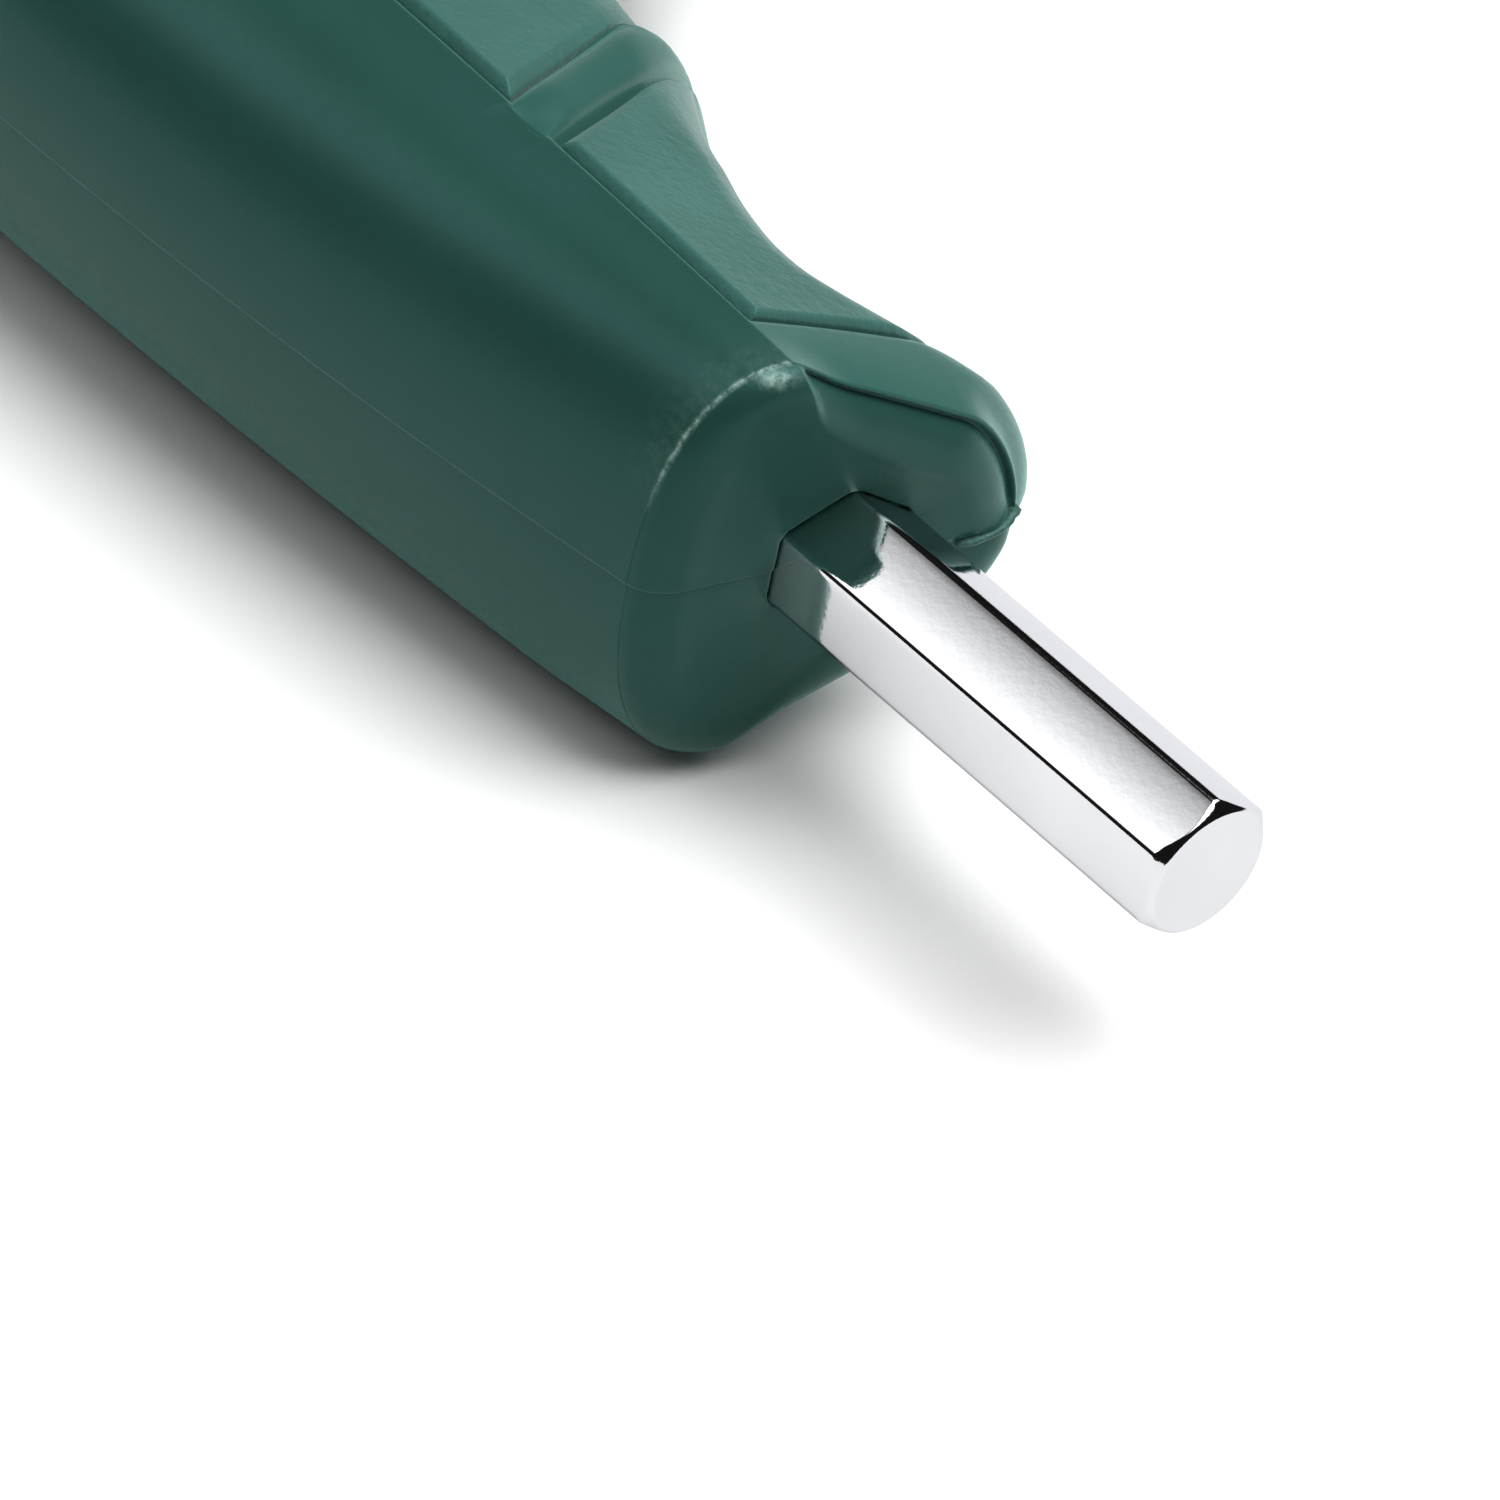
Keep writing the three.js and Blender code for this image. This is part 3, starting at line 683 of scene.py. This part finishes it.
moulding, moulding_shader, add, join = new_finish("satin_green_moulding")
place = add("ShaderNodeTexCoord").outputs["Object"]
clouds = add("ShaderNodeTexNoise", {"Vector": place, "Scale": 90, "Detail": 5, "Roughness": 0.55})
tone = add("ShaderNodeMapRange", {0: clouds.outputs["Fac"], 1: 0.32, 2: 0.68, 3: 0.0, 4: 1.0})
smooth_tone = add("ShaderNodeMixRGB", {"Fac": tone.outputs[0], 1: (0.0105, 0.042, 0.034, 1),
                                       2: (0.0125, 0.048, 0.04, 1)})
sheen_tone = add("ShaderNodeMixRGB", {"Fac": tone.outputs[0], 1: (0.018, 0.068, 0.056, 1),
                                     2: (0.022, 0.078, 0.065, 1)})
# Painted sheen: the upper face gets a lighter, greener tone than the palm, for the grazing reflection that
# brightens it.
painted_sheen = add("ShaderNodeAttribute", attribute_name="top_face_sheen").outputs["Fac"]
whole = add("ShaderNodeMixRGB", {"Fac": painted_sheen, 1: smooth_tone.outputs[0], 2: sheen_tone.outputs[0]})
scratches = add("ShaderNodeTexNoise", {"Vector": place, "Scale": 2400, "Detail": 4, "Roughness": 0.7})
broken = add("ShaderNodeMapRange", {0: scratches.outputs["Fac"], 1: 0.39, 2: 0.63, 3: 0.12, 4: 1.0})
# Pale rim colour: a painted highlight along the sharp rim, with some chafing at the ridge corner, broken up
# by fine noise.
pale_rim_mask = add("ShaderNodeAttribute", attribute_name="rim_highlight_and_chafe").outputs["Fac"]
pale = add("ShaderNodeMath", {0: pale_rim_mask, 1: broken.outputs[0]}, operation="MULTIPLY", use_clamp=True)
colour = add("ShaderNodeMixRGB", {"Fac": pale.outputs[0], 1: whole.outputs[0], 2: (0.3, 0.44, 0.4, 1)})
join(colour.outputs[0], "Base Color")
grain = add("ShaderNodeTexNoise", {"Vector": place, "Scale": 3600, "Detail": 2, "Roughness": 0.6})
gloss = add("ShaderNodeMapRange", {0: grain.outputs["Fac"], 1: 0.25, 2: 0.75, 3: 0.29, 4: 0.39})
join(gloss.outputs[0], "Roughness")
waves = add("ShaderNodeTexNoise", {"Vector": place, "Scale": 420, "Detail": 3})
broad = add("ShaderNodeBump", {"Height": waves.outputs["Fac"], "Strength": 1.0, "Distance": 1.2e-5})
fine = add("ShaderNodeBump", {"Height": grain.outputs["Fac"], "Strength": 1.0, "Distance": 4e-6,
                              "Normal": broad.outputs[0]})
join(fine.outputs[0], "Normal")
moulding_shader.inputs["Specular Tint"].default_value = (0.4, 1.0, 0.95, 1)
moulding_shader.inputs["Specular IOR Level"].default_value = 0.2
moulding_shader.inputs["Sheen Weight"].default_value = 0.3
moulding_shader.inputs["Sheen Roughness"].default_value = 0.4
moulding_shader.inputs["Sheen Tint"].default_value = (0.35, 1.0, 0.87, 1)
grip = make_piece("green_grip", points, faces, moulding, marks={"top_face_sheen": top_face_sheen, "rim_highlight_and_chafe": rim_highlight_and_chafe})
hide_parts("handle_body")
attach(grip, "root")

# The pads: six inlays of a softer, duller green plastic, three to a face, each set in its own pocket.
# Each is bonded to its pocket's floor, with a grained top, a small bevel and a narrow groove open round it.

pad_bevel = 0.42
pad_drop = 0.6
pad_proud = 0.08
pad_end_bevel = 0.22
pad_end_drop = 0.3
pad_rib_bevel = 0.6
pad_rib_drop = 0.42
pad_depth = 1.15
bevel_steps = [0, 0.02, 0.05, 0.1, 0.2, 0.3, 0.38, 0.44, 0.5, 0.58, 0.75]


def bevel_fall(inside, width, drop):
    """How far a pad's top has fallen, by the distance from its edge."""
    share = np.clip(1 - inside / width, 0, 1)
    arris = np.clip(1 - inside / 0.05, 0, 1)
    return drop * share ** 1.2 + 0.04 * arris ** 2


def pad_sheet(line_at, from_rib, from_end):
    """Top and underside of a pad over its section lines, given each line's distance from the pad's ends."""
    rails = section_rails(np.array(line_at))
    edge_at = pocket_ridge + groove + 0.02
    steps = [("ridge", edge_at + step, step, 9.0) for step in bevel_steps]
    steps += [("field", share, 9.0, 9.0) for share in np.linspace(0, 1, 16)[1:]]
    foot = pocket_margin + foot_groove + 0.02
    steps += [("pocket", foot + step, 9.0, step) for step in reversed(bevel_steps)]
    top, under = [], []
    for zone, value, inside, foot_inside in steps:
        row = plan_row(rails, zone, value)
        height = face_height(row)
        fall = np.maximum(bevel_fall(from_rib, pad_rib_bevel, pad_rib_drop) * run_out(rails, row, line_at),
                          bevel_fall(from_end, pad_end_bevel, pad_end_drop))
        fall = np.maximum(fall, bevel_fall(np.full(len(row), inside), pad_bevel, pad_drop))
        fall = np.maximum(fall, foot_sink * np.clip(1 - foot_inside / pad_bevel, 0, 1) ** 1.5)
        top.append(np.column_stack([row, height + pad_proud - fall]))
        under.append(np.column_stack([row, height - pad_depth]))
    return np.array(top), np.array(under)


def pad_mesh(top, under):
    """Points and faces of the closed pad."""
    rows, lines = top.shape[:2]
    size = rows * lines
    points = np.concatenate([top.reshape(-1, 3), under.reshape(-1, 3)])
    faces = []
    for r in range(rows - 1):
        faces += band_faces(r * lines, (r + 1) * lines, lines, False)
        faces += [face[::-1] for face in band_faces(size + r * lines, size + (r + 1) * lines, lines, False)]
    rim = list(range(lines)) + [r * lines + lines - 1 for r in range(1, rows)]
    rim += [(rows - 1) * lines + k for k in range(lines - 2, -1, -1)]
    rim += [r * lines for r in range(rows - 2, 0, -1)]
    for a, b in zip(rim, rim[1:] + rim[:1]):
        faces.append((b, a, a + size, b + size))
    return points, faces


soft_pad, soft_pad_shader, add, join = new_finish("grained_green_pad")
place = add("ShaderNodeTexCoord").outputs["Object"]
clouds = add("ShaderNodeTexNoise", {"Vector": place, "Scale": 160, "Detail": 5, "Roughness": 0.6})
tone = add("ShaderNodeMapRange", {0: clouds.outputs["Fac"], 1: 0.32, 2: 0.68, 3: 0.0, 4: 1.0})
colour = add("ShaderNodeMixRGB", {"Fac": tone.outputs[0], 1: (0.025, 0.088, 0.074, 1),
                                  2: (0.033, 0.108, 0.092, 1)})
join(colour.outputs[0], "Base Color")
grain = add("ShaderNodeTexNoise", {"Vector": place, "Scale": 1900, "Detail": 4, "Roughness": 0.6})
gloss = add("ShaderNodeMapRange", {0: grain.outputs["Fac"], 1: 0.3, 2: 0.7, 3: 0.38, 4: 0.5})
join(gloss.outputs[0], "Roughness")
leather = add("ShaderNodeBump", {"Height": grain.outputs["Fac"], "Strength": 1.0, "Distance": 5e-5})
join(leather.outputs[0], "Normal")
soft_pad_shader.inputs["Specular IOR Level"].default_value = 0.3
soft_pad_shader.inputs["Specular Tint"].default_value = (0.4, 1.0, 0.95, 1)
soft_pad_shader.inputs["Sheen Weight"].default_value = 0.35
soft_pad_shader.inputs["Sheen Roughness"].default_value = 0.4
soft_pad_shader.inputs["Sheen Tint"].default_value = (0.8, 1.0, 0.98, 1)

inner_end = knot_ridge[3] - groove - 0.02
outer_start = knot_ridge[4] + groove + 0.02
outer_end = knot_ridge[7] - groove - 0.02
centre_lines = [inner_end - step for step in reversed(bevel_steps)]
corner_at = knot_ridge[1]
centre_field = np.concatenate([np.linspace(0, corner_at - 0.6, 10),
                               [corner_at - 0.25, corner_at, corner_at + 0.25],
                               np.linspace(corner_at + 0.6, centre_lines[0] - 0.5, 26)])
centre_at = np.sort(np.concatenate([centre_field, scoop_lines, centre_lines]))
wing_at = np.concatenate([[outer_start + step for step in bevel_steps],
                          np.linspace(outer_start + 1.7, outer_end - 1.7, 26),
                          [outer_end - step for step in reversed(bevel_steps)]])
centre_top, centre_under = pad_sheet(centre_at, inner_end - centre_at, np.full(len(centre_at), 9.0))
wing_top, wing_under = pad_sheet(wing_at, wing_at - outer_start, outer_end - wing_at)
whole_top = np.concatenate([(centre_top * (-1, 1, 1))[:, :0:-1], centre_top], axis=1)
whole_under = np.concatenate([(centre_under * (-1, 1, 1))[:, :0:-1], centre_under], axis=1)
for name, top, under, flip in (
        ("centre_pad_upper", whole_top, whole_under, (1, 1, 1)),
        ("centre_pad_lower", whole_top, whole_under, (1, 1, -1)),
        ("stub_end_pad_upper", wing_top, wing_under, (1, 1, 1)),
        ("stub_end_pad_lower", wing_top, wing_under, (1, 1, -1)),
        ("plain_end_pad_upper", wing_top, wing_under, (-1, 1, 1)),
        ("plain_end_pad_lower", wing_top, wing_under, (-1, 1, -1))):
    points, faces = pad_mesh(top * flip, under * flip)
    pad = make_piece("soft_" + name, points, faces, soft_pad, weld=False)
    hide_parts(name)
    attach(pad, "root")

# The floor: a plain pale table top, wide enough to reach past every view.
# It leans a little with the tool, which rests on the grip's lower ridge and on the long arm's tip.

rest_line = Vector((0, axes_cross.y - ridge_back_middle / 1000, 0))
tip_underside = axes_cross.z - half_flats / math.cos(math.pi / 6) / 1000
floor_lean = math.atan2(tip_underside, (long_reach + ridge_back_middle) / 1000)
floor_half = 4.0
floor_mesh = bpy.data.meshes.new("pale_floor")
cells = np.linspace(-floor_half, floor_half, 9)
floor_points = [(x, y, 0) for y in cells for x in cells]
floor_faces = []
for r in range(8):
    floor_faces += band_faces(r * 9, (r + 1) * 9, 9, False)
floor_mesh.from_pydata(floor_points, [], floor_faces)
floor_paint, floor_shader, add, join = new_finish("pale_table")
place = add("ShaderNodeTexCoord").outputs["Object"]
clouds = add("ShaderNodeTexNoise", {"Vector": place, "Scale": 14, "Detail": 3})
tone = add("ShaderNodeMixRGB", {"Fac": clouds.outputs["Fac"], 1: (0.88, 0.88, 0.88, 1),
                                2: (0.9, 0.9, 0.9, 1)})
join(tone.outputs[0], "Base Color")
floor_shader.inputs["Roughness"].default_value = 0.9
floor_shader.inputs["Specular IOR Level"].default_value = 0.1
floor_mesh.materials.append(floor_paint)
floor = bpy.data.objects.new("pale_floor", floor_mesh)
bpy.context.scene.collection.objects.link(floor)
floor.matrix_world = Matrix.Translation(rest_line) @ Matrix.Rotation(floor_lean, 4, "X")

# The light: a plain white studio, with a large soft panel overhead, a softer strip on the palm's side,
# a low wall on the far side, and the rest left dark so that the plating has something to reflect.

ambient = 0.012
studio = bpy.data.worlds.new("studio")
studio.use_nodes = True
bpy.context.scene.world = studio
studio_node = node_adder(studio.node_tree)
look = studio_node("ShaderNodeTexCoord").outputs["Generated"]


def soft_panel(direction, inner, outer, level):
    """A round soft panel: its direction, the angles of its full and fading part, and its brightness."""
    aim = Vector(direction).normalized()
    dot = studio_node("ShaderNodeVectorMath", {0: look, 1: aim}, operation="DOT_PRODUCT")
    return studio_node("ShaderNodeMapRange", {0: dot.outputs["Value"], 1: math.cos(math.radians(outer)),
                                              2: math.cos(math.radians(inner)), 3: 0.0, 4: level},
                       interpolation_type="SMOOTHSTEP").outputs[0]


axes = studio_node("ShaderNodeSeparateXYZ", {0: look}).outputs


def fade(value, start, end, level=1.0):
    """A soft step from nothing at start to the level at end."""
    return studio_node("ShaderNodeMapRange", {0: value, 1: start, 2: end, 3: 0.0, 4: level},
                       interpolation_type="SMOOTHSTEP").outputs[0]


def studio_math(operation, first, second):
    return studio_node("ShaderNodeMath", {0: first, 1: second}, operation=operation).outputs[0]


far_side = (-0.53, 0.85, 0)
far = studio_node("ShaderNodeVectorMath", {0: look, 1: far_side}, operation="DOT_PRODUCT").outputs["Value"]
wall = studio_math("MULTIPLY", fade(axes["Z"], 0.12, 0.02, 1.2), fade(far, 0.2, 0.7))
swing = studio_math("ARCTAN2", studio_math("MULTIPLY", axes["Y"], -1.0), axes["Z"])
strip_side = studio_math("ABSOLUTE", studio_math("ADD", axes["X"], 0.53), 0.0)
strip_end = fade(swing, math.radians(62), math.radians(46))
strip = studio_math("MULTIPLY", fade(strip_side, 0.28, 0.1), strip_end)
strip = studio_math("MULTIPLY", strip, fade(swing, math.radians(2), math.radians(33), 3.4))
overhead = soft_panel((0.13, 0.28, 0.95), 20, 39, 6.0)
level = studio_math("ADD", wall, ambient)
level = studio_math("ADD", level, overhead)
level = studio_math("ADD", level, strip)
background = studio.node_tree.nodes["Background"]
studio.node_tree.links.new(level, background.inputs["Strength"])
background.inputs["Color"].default_value = (1, 1, 1, 1)
bpy.context.scene.view_settings.view_transform = "Standard"

# The camera: a long lens from above the short arm's side, close on the end of the grip.
# Its picture is 59 mm wide at the short arm's tip, so the hub and the long arm stay out of it.

camera_right = Vector((0.639, 0.750, 0.171)).normalized()
camera_back = Vector((0.527, -0.589, 0.6125)).normalized()
camera_up = camera_back.cross(camera_right).normalized()
camera_right = camera_up.cross(camera_back).normalized()
picture_width = 1500 / 25.42 / 1000
camera_distance = 0.52
stub_tip = axes_cross + Vector((short_reach / 1000, 0, 0))
aim = stub_tip - 0.01804 * camera_right + 0.00483 * camera_up
lens = bpy.data.cameras.new("studio_camera")
lens.sensor_width = 36
lens.lens = 36 * camera_distance / picture_width
lens.clip_start = 0.01
lens.clip_end = 20
camera = bpy.data.objects.new("studio_camera", lens)
bpy.context.scene.collection.objects.link(camera)
turn = Matrix((camera_right, camera_up, camera_back)).transposed().to_4x4()
camera.matrix_world = Matrix.Translation(aim + camera_back * camera_distance) @ turn
bpy.context.scene.camera = camera

bpy.context.view_layer.update()
